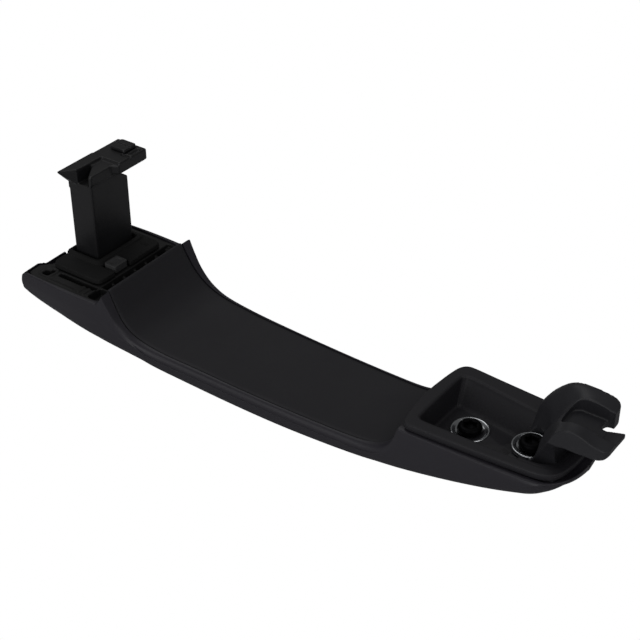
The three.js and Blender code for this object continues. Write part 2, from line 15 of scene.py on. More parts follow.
import bpy
import numpy as np
from mathutils import Euler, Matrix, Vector

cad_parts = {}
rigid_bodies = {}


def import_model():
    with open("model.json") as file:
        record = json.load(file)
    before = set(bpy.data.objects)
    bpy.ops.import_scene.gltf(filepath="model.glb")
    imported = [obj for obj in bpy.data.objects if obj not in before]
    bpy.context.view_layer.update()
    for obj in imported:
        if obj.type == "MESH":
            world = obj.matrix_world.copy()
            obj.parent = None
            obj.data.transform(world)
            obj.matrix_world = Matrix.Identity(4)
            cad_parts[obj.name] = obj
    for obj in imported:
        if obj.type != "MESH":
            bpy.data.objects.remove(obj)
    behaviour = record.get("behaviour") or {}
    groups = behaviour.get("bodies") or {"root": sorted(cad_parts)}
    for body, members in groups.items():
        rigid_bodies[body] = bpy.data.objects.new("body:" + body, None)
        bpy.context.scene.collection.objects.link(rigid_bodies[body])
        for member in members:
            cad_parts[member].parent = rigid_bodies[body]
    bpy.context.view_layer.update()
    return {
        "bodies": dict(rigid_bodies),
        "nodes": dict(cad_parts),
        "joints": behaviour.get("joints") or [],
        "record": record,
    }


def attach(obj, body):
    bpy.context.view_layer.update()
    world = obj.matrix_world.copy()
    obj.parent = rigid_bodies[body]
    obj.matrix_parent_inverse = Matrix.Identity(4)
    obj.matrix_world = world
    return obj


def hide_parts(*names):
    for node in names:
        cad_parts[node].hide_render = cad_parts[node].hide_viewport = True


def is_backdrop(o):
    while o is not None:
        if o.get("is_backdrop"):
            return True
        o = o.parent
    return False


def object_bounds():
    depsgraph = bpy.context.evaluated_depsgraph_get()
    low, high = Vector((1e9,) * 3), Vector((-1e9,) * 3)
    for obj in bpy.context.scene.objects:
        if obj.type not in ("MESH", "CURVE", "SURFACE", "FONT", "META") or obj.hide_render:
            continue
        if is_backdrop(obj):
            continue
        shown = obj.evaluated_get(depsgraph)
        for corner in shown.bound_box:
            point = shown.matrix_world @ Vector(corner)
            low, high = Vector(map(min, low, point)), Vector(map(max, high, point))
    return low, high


logging.basicConfig(level=logging.INFO, format="%(message)s")
LOG = logging.getLogger("door_handle")

MM = 0.001
DOOR_Z = 26.2
Outline = Sequence[tuple[float, float]]


# ---- curves ---------------------------------------------------------------------------------------
def smooth_step(t: np.ndarray | float) -> np.ndarray:
    """Eases from 0 to 1 with level ends: 3 t squared minus 2 t cubed, held outside 0 to 1."""
    t = np.clip(t, 0.0, 1.0)
    return t * t * (3.0 - 2.0 * t)


def through(points: Outline, count: int, closed: bool = False) -> np.ndarray:
    """A smooth Catmull-Rom line through points.

    Args:
        points: The points, any number of coordinates each.
        count: How many evenly spaced points to return.
        closed: Whether the line comes back to its first point.

    Returns:
        An array of count points, spaced evenly along the line.
    """
    p = np.asarray(points, float)
    if closed:
        p = np.vstack([p[-1:], p, p[:2]])
    else:
        p = np.vstack([2 * p[:1] - p[1:2], p, 2 * p[-1:] - p[-2:-1]])
    spans = len(p) - 3
    t = np.linspace(0, spans, spans * 24 + 1)
    k = np.minimum(t.astype(int), spans - 1)
    f = (t - k)[:, None]
    a, b, c, d = p[k], p[k + 1], p[k + 2], p[k + 3]
    line = 0.5 * (2 * b + (c - a) * f + (2 * a - 5 * b + 4 * c - d) * f**2 + (3 * b - 3 * c + d - a) * f**3)
    return even(line, count, closed)


def even(line: np.ndarray, count: int, closed: bool = False) -> np.ndarray:
    """The same line with count points spaced evenly along it."""
    if closed:
        line = np.vstack([line, line[:1]])
    run = np.concatenate([[0], np.cumsum(np.linalg.norm(np.diff(line, axis=0), axis=1))])
    at = np.linspace(0, run[-1], count, endpoint=not closed)
    return np.stack([np.interp(at, run, line[:, i]) for i in range(line.shape[1])], axis=1)


def rounded(corners: Outline, radius: float, steps: int = 5) -> np.ndarray:
    """A polygon with its corners rounded off, each by at most radius."""
    c = np.asarray(corners, float)
    out = []
    for before, at, after in zip(np.roll(c, 1, 0), c, np.roll(c, -1, 0)):
        u, v = before - at, after - at
        reach = min(radius, 0.45 * np.linalg.norm(u), 0.45 * np.linalg.norm(v))
        a, b = at + u / np.linalg.norm(u) * reach, at + v / np.linalg.norm(v) * reach
        t = np.linspace(0, 1, steps)[:, None]
        out.append((1 - t) ** 2 * a + 2 * t * (1 - t) * at + t**2 * b)
    return np.vstack(out)


def rectangle(x0: float, x1: float, y0: float, y1: float, radius: float = 0.6) -> np.ndarray:
    """A rectangle with rounded corners, anticlockwise."""
    return rounded([(x0, y0), (x1, y0), (x1, y1), (x0, y1)], radius)


# ---- meshes ---------------------------------------------------------------------------------------
def make_object(name: str, verts: np.ndarray, faces: list[np.ndarray], sharp_deg: float) -> bpy.types.Object:
    """A mesh object at the origin from arrays.

    Args:
        name: Name of the piece.
        verts: Vertices in millimetres, one per row.
        faces: Index arrays, each with a fixed number of corners per row.
        sharp_deg: Edges that turn by more than this stay sharp.

    Returns:
        The new object, linked to the scene, its faces turned outward.
    """
    volume = sum(_volume(verts, f) for f in faces)
    if volume < 0:
        faces = [f[:, ::-1] for f in faces]
    mesh = bpy.data.meshes.new(name)
    loops = np.concatenate([f.ravel() for f in faces]).astype(np.int32)
    sizes = np.concatenate([np.full(len(f), f.shape[1]) for f in faces]).astype(np.int32)
    starts = np.concatenate([[0], np.cumsum(sizes)[:-1]]).astype(np.int32)
    mesh.vertices.add(len(verts))
    mesh.vertices.foreach_set("co", (verts * MM).astype(np.float32).ravel())
    mesh.loops.add(len(loops))
    mesh.loops.foreach_set("vertex_index", loops)
    mesh.polygons.add(len(sizes))
    mesh.polygons.foreach_set("loop_start", starts)
    mesh.update(calc_edges=True)
    mesh.validate()
    return link(name, mesh, sharp_deg)


def _volume(verts: np.ndarray, faces: np.ndarray) -> float:
    """Signed volume under a set of faces, as a fan of tetrahedra about the origin."""
    fans = range(1, faces.shape[1] - 1)
    a = verts[faces[:, 0]]
    return float(sum(np.einsum("ij,ij->", a,
        np.cross(verts[faces[:, i]], verts[faces[:, i + 1]])) for i in fans))


def link(name: str, mesh: bpy.types.Mesh, sharp_deg: float) -> bpy.types.Object:
    """Puts a mesh in the scene as a smooth-shaded object whose edges past sharp_deg stay crisp."""
    mesh.shade_smooth()
    mesh.set_sharp_from_angle(angle=math.radians(sharp_deg))
    made = bpy.data.objects.new(name, mesh)
    bpy.context.scene.collection.objects.link(made)
    return made


def ring_surface(name: str, rings: np.ndarray, ends: str = "caps", sharp_deg: float = 38) -> bpy.types.Object:
    """A closed surface through rings of points.

    Args:
        name: Name of the piece.
        rings: Rings by points by three, in millimetres.
        ends: "caps" closes the first and last ring as fans, "joined" joins last to first.
        sharp_deg: Edges that turn by more than this stay sharp.

    Returns:
        The object.
    """
    count, around = rings.shape[:2]
    verts = rings.reshape(-1, 3)
    r = np.arange(count if ends == "joined" else count - 1)
    i = np.arange(around)
    a = (r[:, None] * around + i).ravel()
    b = (r[:, None] * around + (i + 1) % around).ravel()
    up = around * ((r + 1) % count - r)
    step = np.repeat(up, around)
    quads = np.stack([a, b, b + step, a + step], axis=1)
    faces = [quads]
    if ends == "caps":
        hubs = np.stack([rings[0].mean(0), rings[-1].mean(0)])
        n = len(verts)
        verts = np.vstack([verts, hubs])
        j = (i + 1) % around
        last = (count - 1) * around
        faces.append(np.stack([np.full(around, n), j, i], axis=1))
        faces.append(np.stack([np.full(around, n + 1), last + i, last + j], axis=1))
    return make_object(name, verts, faces, sharp_deg)


@dataclass
class Solid:
    """A plain closed solid in millimetres, used as stock for a moulded piece."""

    verts: np.ndarray
    faces: list[list[int]]


class Axis(Enum):
    """The direction an outline is carried along."""

    X = 0
    Y = 1
    Z = 2


def carried(outline: np.ndarray | Outline, axis: Axis, start: float, end: float,
    shrink: float = 0.0) -> Solid:
    """An outline carried along an axis.

    Args:
        outline: Points in the two other directions, in the order X, Y, Z.
        axis: Direction of travel.
        start: Where it starts, in millimetres.
        end: Where it ends.
        shrink: How far the far end is drawn in about the outline's middle, as mould draft.

    Returns:
        The closed solid.
    """
    o = np.asarray(outline, float)
    middle = o.mean(0)
    far = middle + (o - middle) * (1 - shrink)
    flat = np.vstack([np.insert(o, axis.value, start, axis=1), np.insert(far, axis.value, end, axis=1)])
    n = len(o)
    faces = [list(range(n - 1, -1, -1)), list(range(n, 2 * n))]
    faces += [[i, (i + 1) % n, n + (i + 1) % n, n + i] for i in range(n)]
    return Solid(flat, faces)


def block(x0: float, x1: float, y0: float, y1: float, z0: float, z1: float, radius: float = 0.4) -> Solid:
    """An upright block with rounded vertical corners."""
    return carried(rectangle(x0, x1, y0, y1, radius), Axis.Z, z0, z1)


def upright_rod(x: float, y: float, radius: float, z0: float, z1: float, sides: int = 48) -> Solid:
    """A round rod standing along Z."""
    a = np.linspace(0, 2 * math.pi, sides, endpoint=False)
    return carried(np.stack([x + radius * np.cos(a), y + radius * np.sin(a)], axis=1), Axis.Z, z0, z1)


def ring_solid(rings: np.ndarray) -> Solid:
    """Rings of points as a closed solid with flat ends."""
    count, n = rings.shape[:2]
    faces = [list(range(n - 1, -1, -1)), [(count - 1) * n + i for i in range(n)]]
    faces += [
        [r * n + i, r * n + (i + 1) % n, (r + 1) * n + (i + 1) % n, (r + 1) * n + i]
        for r in range(count - 1)
        for i in range(n)
    ]
    return Solid(rings.reshape(-1, 3), faces)


def stock(name: str, solids: Sequence[Solid]) -> bpy.types.Object:
    """Several solids as one temporary object."""
    verts, faces, base = [], [], 0
    for s in solids:
        inside_out = sum(_volume(s.verts, np.array([f])) for f in s.faces) < 0
        verts.append(s.verts)
        faces += [[base + i for i in (f[::-1] if inside_out else f)] for f in s.faces]
        base += len(s.verts)
    mesh = bpy.data.meshes.new(name)
    mesh.from_pydata((np.vstack(verts) * MM).tolist(), [], faces)
    mesh.update()
    made = bpy.data.objects.new(name, mesh)
    bpy.context.scene.collection.objects.link(made)
    return made


def mould(
    name: str,
    add: Sequence[Solid],
    cut: Sequence[Solid] = (),
    grain_mm: float = 0.28,
    soften: int = 5,
) -> bpy.types.Object:
    """One moulded piece: solids joined, others cut away, then every edge softened as in a mould.

    Args:
        name: Name of the piece.
        add: Solids that make up the piece; they may overlap.
        cut: Solids taken away.
        grain_mm: Size of the even mesh that the piece is remade with.
        soften: Rounds of smoothing, which set the edge radius.

    Returns:
        The piece, with no modifiers left on it.
    """
    body = stock(name + "_stock", add[:1])
    spent = [body]
    for solids, operation in ((add[1:], "UNION"), (cut, "DIFFERENCE")):
        for i, solid in enumerate(solids):
            tool = stock(f"{name}_{operation}_{i}", [solid])
            spent.append(tool)
            step = body.modifiers.new(tool.name, "BOOLEAN")
            step.operation = operation
            step.solver = "EXACT"
            step.object = tool
    remake = body.modifiers.new("even", "REMESH")
    remake.mode = "VOXEL"
    remake.voxel_size = grain_mm * MM
    ease = body.modifiers.new("soften", "SMOOTH")
    ease.factor = 0.5
    ease.iterations = soften
    graph = bpy.context.evaluated_depsgraph_get()
    graph.update()
    mesh = bpy.data.meshes.new_from_object(body.evaluated_get(graph))
    mesh.name = name
    for tool in spent:
        bpy.data.objects.remove(tool)
    return link(name, mesh, 60)


def turned(name: str, profile: Outline, x: float, y: float, steps: int = 96) -> bpy.types.Object:
    """A piece turned about an upright axis from a closed profile of (radius, height)."""
    p = np.asarray(profile, float)
    a = np.linspace(0, 2 * math.pi, steps, endpoint=False)
    rings = np.stack(
        [x + p[None, :, 0] * np.cos(a)[:, None], y + p[None, :, 0] * np.sin(a)[:, None],
         np.broadcast_to(p[None, :, 1], (steps, len(p)))], axis=2)
    return ring_surface(name, rings, ends="joined")


# ---- outline of the grip --------------------------------------------------------------------------
class Grip:
    """The shared outline of the grip: its width, bow, finger line and seam, all in millimetres."""

    WIDTH = through(
        [(-104, 23.4), (-90, 24.1), (-76, 23.9), (-60, 22.3), (-40, 20.8), (-15, 20), (20, 19.2), (50, 18.7),
         (75, 18.2), (90, 17.4)], 400)
    SEAM = through(
        [(-108, 22.2), (-92, 22.6), (-76, 22.0), (-72.5, 19.6), (-70.5, 19.2), (-64.5, 19.7), (-59.5, 19.6),
         (-54.5, 19.3), (-44.5, 18.9), (-34.5, 18.4), (-14.5, 18.1), (5.5, 17.6), (25.5, 17.0), (35.5, 16.4),
         (42, 15.8), (47, 16.4), (60, 16.4), (88, 15.6), (101, 13.5)], 600)
    LEFT, LEFT_START, LEFT_RISE = -109.4, -108.2, -101.0
    RIGHT, RIGHT_START = 100.3, 87.0
    RIDGE_X, RIM_X = -70.5, 45.5
    FINGER = np.vstack([
        through([(-70.5, 29.7), (-68.2, 25.0), (-65.0, 19.9), (-60.6, 16.2), (-55.0, 14.1), (-49.0, 13.1),
        (-42.0, 12.55),
                 (-30, 12.0), (-15, 11.5), (0, 11.25), (14, 11.25), (28, 11.55), (35, 12.4), (39.7, 14.4),
                 (42.9, 17.8),
                 (44.6, 21.6), (45.5, 25.0)], 300)])

    @classmethod
    def half_width(cls, x: np.ndarray) -> np.ndarray:
        """Half width of the skin; the ends are rounded in plan as super-ellipses."""
        w = np.interp(x, cls.WIDTH[:, 0], cls.WIDTH[:, 1])
        left = np.clip((cls.LEFT_START - x) / (cls.LEFT_START - cls.LEFT), 0, 1)
        right = np.clip((x - cls.RIGHT_START) / (cls.RIGHT - cls.RIGHT_START), 0, 1)
        return w * (1 - left**2.2) ** (1 / 2.2) * (1 - right**2.4) ** (1 / 2.4)

    @classmethod
    def outer_face(cls, x: np.ndarray) -> np.ndarray:
        """Height of the outer face on the centre line: a shallow bow, turned up at both ends."""
        bow = (x + 9.9) ** 2 / (2 * 309)
        left = np.clip((cls.LEFT_RISE - x) / (cls.LEFT_RISE - cls.LEFT), 0, 1)
        right = np.clip((x - cls.RIGHT_START) / (cls.RIGHT - cls.RIGHT_START), 0, 1)
        return np.minimum(bow + 1.9 * left**2.2 + 4.5 * right**2.4, DOOR_Z - 4.8)

    @classmethod
    def finger_z(cls, x: np.ndarray) -> np.ndarray:
        """Height of the finger surface."""
        return np.interp(x, cls.FINGER[:, 0], cls.FINGER[:, 1])

    @classmethod
    def seam(cls, x: np.ndarray) -> np.ndarray:
        """Half width at the seam between the skin and what fills it."""
        return np.interp(x, cls.SEAM[:, 0], cls.SEAM[:, 1])


@dataclass(frozen=True)
class Edge:
    """How the top edge of the skin is shaped at every station."""

    top: np.ndarray
    drop: np.ndarray
    power: np.ndarray


@dataclass
class OuterShell:
    """The thin satin skin: bowed outer face, rolled shoulder along the seam and a fin at each ridge end."""

    wall: float = 1.9
    floor: float = 2.6
    gap: float = 0.2
    stations: int = 300

    def xs(self) -> np.ndarray:
        """Stations along the grip, close together at both ends and over the ridge."""
        g = Grip
        ends = 6.0 * (1 - np.cos(np.linspace(0, math.pi / 2, 44)))
        left = g.LEFT + 0.002 + ends
        right = g.RIGHT - 0.002 - 13.2 * (1 - np.cos(np.linspace(0, math.pi / 2, 34)))
        ridge = np.linspace(-78, -60, 60)
        rim = np.linspace(36, 48, 34)
        body = np.linspace(-101, 88, self.stations - 160)
        return np.unique(np.round(np.concatenate([left, right, ridge, rim, body]), 4))

    def edge(self, x: np.ndarray) -> Edge:
        """Top edge: level with the door face at the foot, over the ridge, along the fingers to the rim."""
        w = Grip.half_width(x)
        notch = smooth_step((15.5 - w) / 4.0) * (x < -100)
        foot = DOOR_Z - 0.7 - 3.2 * notch - 1.3 * smooth_step((-106.0 - x) / 3.4) * (1 - notch)
        fin = np.clip((x + 73.4) / 2.9, 0, 1)
        before = foot + (29.5 - DOOR_Z + 0.7) * fin**1.4
        along = Grip.finger_z(x) - 0.12
        under = 23.6
        top = np.where(x < Grip.RIDGE_X, before, along)
        top = np.where(x > 0, np.minimum(top, under), top)
        top = np.where(x > Grip.RIM_X, under, top)
        near_ridge = np.exp(-(((x - Grip.RIDGE_X) / 5.5) ** 2))
        finger = smooth_step((x + 66) / 16) * smooth_step((46 - x) / 8)
        drop = 0.5 + 1.9 * finger + 0.35 * near_ridge
        power = 2.1 + 2.6 * near_ridge
        return Edge(top, drop, power)

    def build(self) -> bpy.types.Object:
        """Rings of one closed skin section per station: over the outside, then back along the inside."""
        x = self.xs()
        w = Grip.half_width(x)
        low = Grip.outer_face(x)
        e = self.edge(x)
        lip = np.minimum(Grip.seam(x) + self.gap, w - np.minimum(0.9, 0.45 * w))
        a = w - lip
        t = np.linspace(0, math.pi / 2, 10)[None, :]
        p = (2 / e.power)[:, None]
        shoulder_y = lip[:, None] + a[:, None] * np.sin(t) ** p
        shoulder_z = e.top[:, None] - e.drop[:, None] * (1 - np.cos(t) ** p)
        turn = np.interp(x, [-110, -104, -92, -75, -20, 15, 45, 80, 101],
            [1.6, 3.6, 6.4, 8.2, 8.2, 6.8, 5.2, 4.4, 4.4])
        corner = np.clip(np.minimum(turn, np.minimum(0.8 * w, 0.62 * (DOOR_Z - 1 - low))), 0.3, None)
        crown = np.minimum(0.9, 0.05 * w)
        side_top = e.top - e.drop
        side_low = np.minimum(low + crown + corner, side_top - 0.2)
        s = np.linspace(0, 1, 8)[None, 1:-1]
        side_y = np.repeat(w[:, None], s.shape[1], axis=1) + 0.35 * np.sin(math.pi * s) * (w / 24)[:, None]
        side_z = side_top[:, None] + (side_low - side_top)[:, None] * s
        c = np.linspace(0, math.pi / 2, 16)[None, :]
        bend_y = (w - corner)[:, None] + corner[:, None] * np.cos(c) ** 0.92
        bend_z = side_low[:, None] - (side_low - low - crown)[:, None] * np.sin(c) ** 0.92
        f = np.linspace(0, 1, 9)[None, 1:]
        face_y = (w - corner)[:, None] * (1 - f)
        face_z = low[:, None] + crown[:, None] * (1 - f) ** 2
        half_y = np.hstack([shoulder_y, side_y, bend_y, face_y])
        half_z = np.hstack([shoulder_z, side_z, bend_z, face_z])
        inner_w = np.maximum(w - self.wall, 0.25 * w)
        floor = np.minimum(low + self.floor, e.top - 1.2)
        inner_y = np.stack([lip * 0.999, np.minimum(lip, inner_w), inner_w * 0.99, inner_w * 0.7,
            inner_w * 0.0], axis=1)
        inner_z = np.stack([e.top - 0.9, e.top - 1.6, floor + 3.0, floor, floor], axis=1)
        inner_z = np.minimum(inner_z, (e.top - 0.4)[:, None])
        inner_z = np.maximum(inner_z, floor[:, None])
        outer_y = np.hstack([half_y, -half_y[:, -2::-1]])
        outer_z = np.hstack([half_z, half_z[:, -2::-1]])
        back_y = np.hstack([-inner_y, inner_y[:, -2::-1]])
        back_z = np.hstack([inner_z, inner_z[:, -2::-1]])
        ys, zs = np.hstack([outer_y, back_y]), np.hstack([outer_z, back_z])
        rings = np.stack([np.repeat(x[:, None], ys.shape[1], axis=1), ys, zs], axis=2)
        return ring_surface("outer_shell_skin", rings, sharp_deg=42)


# ---- finger side ----------------------------------------------------------------------------------
@dataclass
class LinerStrip:
    """The grained strip under the fingers, from the back of the ridge to the front of the pocket."""

    wall: float = 2.0
    across: int = 72

    def build(self) -> bpy.types.Object:
        """Rings across the strip, each set square to the finger line."""
        back = np.array([(-72.3, 19.2), (-72.3, 24.0), (-72.25, 27.8), (-71.9, 29.0), (-71.2, 29.62)])
        line = np.vstack([even(back, 24), Grip.FINGER])
        line = even(line, 330)
        tangent = np.gradient(line, axis=0)
        tangent /= np.linalg.norm(tangent, axis=1)[:, None]
        normal = np.stack([-tangent[:, 1], tangent[:, 0]], axis=1)
        half = Grip.seam(np.maximum(line[:, 0], Grip.RIDGE_X)) - 0.22
        toward_rim = smooth_step((line[:, 0] - 24) / 21)
        v = np.linspace(-1, 1, self.across)
        y = half[:, None] * v[None, :]
        roll = 0.30 * np.exp(-(half[:, None] - np.abs(y)) / 0.35)
        dish = 0.28 * (1 - v[None, :] ** 2) * smooth_step((line[:, 0] + 66) / 14)[:, None]
        sink = roll + dish
        bow = 0.0085 * y**2 * toward_rim[:, None] - 0.9 * toward_rim[:, None]
        top = np.stack([line[:, :1] - normal[:, :1] * sink + bow, y, line[:, 1:] - normal[:, 1:] * sink],
            axis=2)
        deep = min(self.wall, 1.6)
        under = np.stack(
            [line[:, :1] - normal[:, :1] * (deep + 0 * y) + bow, y * 0.985,
            line[:, 1:] - normal[:, 1:] * (deep + 0 * y)],
            axis=2)
        rings = np.concatenate([top, under[:, ::-1]], axis=1)
        return ring_surface("liner_finger_strip", rings, sharp_deg=48)


@dataclass
class PocketBlock:
    """The flat rim and the open well behind it, as one run of rings from underside to well floor."""

    points: int = 480
    centre: tuple[float, float] = (71.0, 0.0)
    rim: Outline = (
        (48.6, -18.1), (60, -17.7), (76, -16.9), (86, -16.3), (91.2, -15.7), (94.6, -14.2), (96.4, -11.8),
        (97.3, -8.5),
        (98.0, -3.5), (98.0, 3.5), (97.3, 8.5), (96.4, 11.8), (94.6, 14.2), (91.2, 15.7), (86, 16.3),
        (76, 16.9),
        (60, 17.9), (51.5, 18.5), (48.3, 18.2), (46.4, 16.2), (45.5, 12.5), (44.8, 6), (44.5, 0.6),
        (44.8, -6),
        (45.7, -13), (46.6, -16.8), (47.4, -17.8))
    well: Outline = (
        (51.6, -13.3), (62, -13.1), (76, -12.8), (88, -12.3), (92.6, -11.2), (94.6, -8.0), (95.0, 0),
        (94.6, 7.2),
        (92.6, 9.2), (88, 9.7), (77, 10.0), (62, 11.9), (52.4, 13.1), (50.2, 12.6), (49.4, 10.8), (49.2, 0),
        (49.3, -11.2), (50.0, -12.8))

    def around(self, outline: Outline) -> np.ndarray:
        """The smooth outline, taken at even angles about the block's centre."""
        line = through(outline, 1600, closed=True)
        d = line - self.centre
        angle, reach = np.arctan2(d[:, 1], d[:, 0]), np.hypot(d[:, 0], d[:, 1])
        order = np.argsort(angle)
        at = self.angles()
        r = np.interp(at, angle[order], reach[order], period=2 * math.pi)
        return np.stack([self.centre[0] + r * np.cos(at), self.centre[1] + r * np.sin(at)], axis=1)

    def angles(self) -> np.ndarray:
        """Angles closer together where the long block's corners are."""
        t = np.linspace(-math.pi, math.pi, self.points, endpoint=False)
        return t - 0.42 * np.sin(2 * t)

    def inset(self, line: np.ndarray, amount: float) -> np.ndarray:
        """The line moved inward by amount, square to itself."""
        t = np.roll(line, -1, 0) - np.roll(line, 1, 0)
        t /= np.linalg.norm(t, axis=1)[:, None]
        return line + amount * np.stack([-t[:, 1], t[:, 0]], axis=1)

    def build(self) -> bpy.types.Object:
        """Rings of (outline, inset, height) joined into one closed block."""
        rim, well = self.around(self.rim), self.around(self.well)
        rows: list[np.ndarray] = []

        def row(line: np.ndarray, inset: float, z: float) -> None:
            """Adds one ring; inside the well the far side leans in towards the floor."""
            at = self.inset(line, inset)
            depth = np.clip((25.3 - z) / 8.7, 0, 1) * (inset > 0)
            at[:, 1] -= 3.2 * depth * smooth_step(at[:, 1] / 9)
            floor = Grip.outer_face(at[:, 0]) + 3.2
            rows.append(np.column_stack([at, np.maximum(z, floor)]))

        row(well, -1.7, 14.6)
        row(well, -1.7, 23.95)
        row(rim, 0.25, 23.95)
        row(rim, 0.0, 24.2)
        row(rim, 0.0, 25.8)
        for a in np.radians([30, 60, 90]):
            row(rim, 0.4 - 0.4 * math.cos(a), 25.8 + 0.4 * math.sin(a))
        row(rim, 0.9, DOOR_Z)
        row(well, -1.3, DOOR_Z)
        for a in np.radians([0, 18, 36, 54, 72, 90]):
            row(well, -0.9 + 0.9 * math.sin(a), DOOR_Z - 0.9 + 0.9 * math.cos(a))
        for k in np.linspace(0.12, 1, 8):
            row(well, 0.45 * k, 25.3 - 7.7 * k)
        for a in np.radians([22, 45, 68, 90]):
            row(well, 0.45 + 1.0 - math.cos(a), 17.6 - 1.0 * math.sin(a))
        floor = rows[-1]
        middle = floor.mean(0)
        rows += [middle + (floor - middle) * (1 - k) for k in (0.25, 0.6, 0.9)]
        return ring_surface("liner_pocket_block", np.stack(rows), sharp_deg=50)


@dataclass
class WellRamp:
    """The raised end of the well: a step across it, then a bowl that sweeps up to the rim."""

    x0: float = 76.3
    x1: float = 95.2

    def build(self) -> bpy.types.Object:
        """A height sheet over the end of the well, closed below, as rings along X."""
        x = np.concatenate([self.x0 + 0.8 * (1 - np.cos(np.linspace(0, math.pi / 2, 9))),
            np.linspace(77.4, self.x1, 70)])
        y = np.linspace(-13.6, 10.8, 90)
        gx, gy = np.meshgrid(x, y, indexing="ij")
        edge = 0.8 * (1 - np.sqrt(np.clip(1 - np.clip((self.x0 + 0.8 - gx) / 0.8, 0, 1) ** 2, 0, 1)))
        end = smooth_step((gx - 82.5) / 13.5)
        near = smooth_step((-gy - 5.2) / 7.0) * smooth_step((gx - 75.0) / 9.0)
        rise = 1 - (1 - end) * (1 - near)
        z = 18.9 - edge + 7.0 * rise
        top = np.stack([gx, gy, z], axis=2)
        low = np.stack([gx, gy, np.maximum(15.5, Grip.outer_face(gx) + 2.9)], axis=2)[:, ::-1]
        return ring_surface("liner_well_ramp", np.concatenate([top, low], axis=1), sharp_deg=50)


# ---- foot -----------------------------------------------------------------------------------------
@dataclass
class FootPlate:
    """The nylon plate that closes the arm end: ribs, key slot, groove and toothed channel by the ridge."""

    top: float = 25.0
    low: float = 21.6

    def outline(self) -> np.ndarray:
        """The inside of the skin, clipped at the ridge and cut back diagonally at the end."""
        x = np.linspace(-104.5, -73.0, 40)
        half = np.minimum(Grip.seam(x) - 0.1, 22.4)
        near = np.column_stack([x, -half])
        far = np.column_stack([x[::-1], half[::-1]])
        end = [(-106.6, 21.0), (-107.0, 16.0), (-102.9, 11.2), (-102.9, -11.2), (-107.0, -16.0),
            (-106.6, -21.0)]
        return np.vstack([near, far, np.array(end)])

    def build(self) -> bpy.types.Object:
        """The plate with its features, moulded in one."""
        t = self.top
        add = [carried(self.outline(), Axis.Z, self.low, t)]
        add += [block(-84.4 + 2.3 * i, -83.2 + 2.3 * i, -21.4, -17.0, t - 1, t + 0.55, 0.5) for i in range(3)]
        add += [block(-103.2, -98.2, -20.4, -14.2, t - 1, t + 0.45, 1.2)]
        add += [block(-98.0, -86.0, -21.6, -20.6, t - 1, t + 0.25, 0.4)]
        cut = [
            block(-102.3, -99.2, -19.6, -16.6, t - 2.6, t + 3, 0.7),
            block(-100.4, -99.0, -17.6, -15.2, t - 2.6, t + 3, 0.4),
            block(-96.8, -79.6, -17.1, -15.0, t - 2.4, t + 3, 0.8),
            block(-100.9, -89.4, -4.2, 15.1, 18, 30, 0.8),
            block(-79.0, -73.6, -21.2, -14.6, t - 3.0, t + 3, 0.6),
        ]
        cut += [block(-79.3, -73.4, -14.0, 21.4, t - 1.5, t + 3, 0.5)]
        cut += [block(-79.3, -73.6, -13.6 + 5.7 * i, -8.7 + 5.7 * i, t - 3.2, t + 3, 0.5) for i in range(6)]
        cut += [block(-98.0, -88.0, 19.8, 21.0, t - 1.4, t + 3, 0.4)]
        return mould("foot_plate_moulding", add, cut, 0.28, 3)


@dataclass
class SealPad:
    """The rubber pad that meets the door skin, with a raised lip round the arm."""

    def build(self) -> bpy.types.Object:
        """Pad, lip and openings, moulded in one."""
        add = [
            carried(rectangle(-102.4, -79.6, -14.4, 18.8, 3.0), Axis.Z, 25.5, 27.2, 0.02),
            carried(rectangle(-102.9, -86.2, -7.4, 18.0, 2.6), Axis.Z, 25.5, 28.3, 0.08),
        ]
        cut = [
            carried(rectangle(-101.5, -88.6, -5.0, 15.9, 1.2), Axis.Z, 20, 40),
            block(-86.2, -70, -6.0, 1.8, 20, 40, 0.5),
            block(-85.4, -82.0, 13.0, 14.6, 26.6, 40, 0.5),
            block(-87.2, -84.0, 9.4, 11.8, 28.0, 40, 0.5),
        ]
        return mould("seal_pad_moulding", add, cut, 0.27, 4)


@dataclass
class Buffer:
    """The small grey rubber block let into the edge of the pad."""

    def build(self) -> bpy.types.Object:
        """A block with soft edges and a shallow cup in its top."""
        cut = [carried(rectangle(-84.5, -81.5, -4.2, 0.2, 1.2), Axis.Z, 28.05, 30)]
        return mould("foot_buffer_block", [block(-85.6, -80.4, -5.4, 1.2, 25.5, 28.3, 0.9)], cut, 0.16, 5)


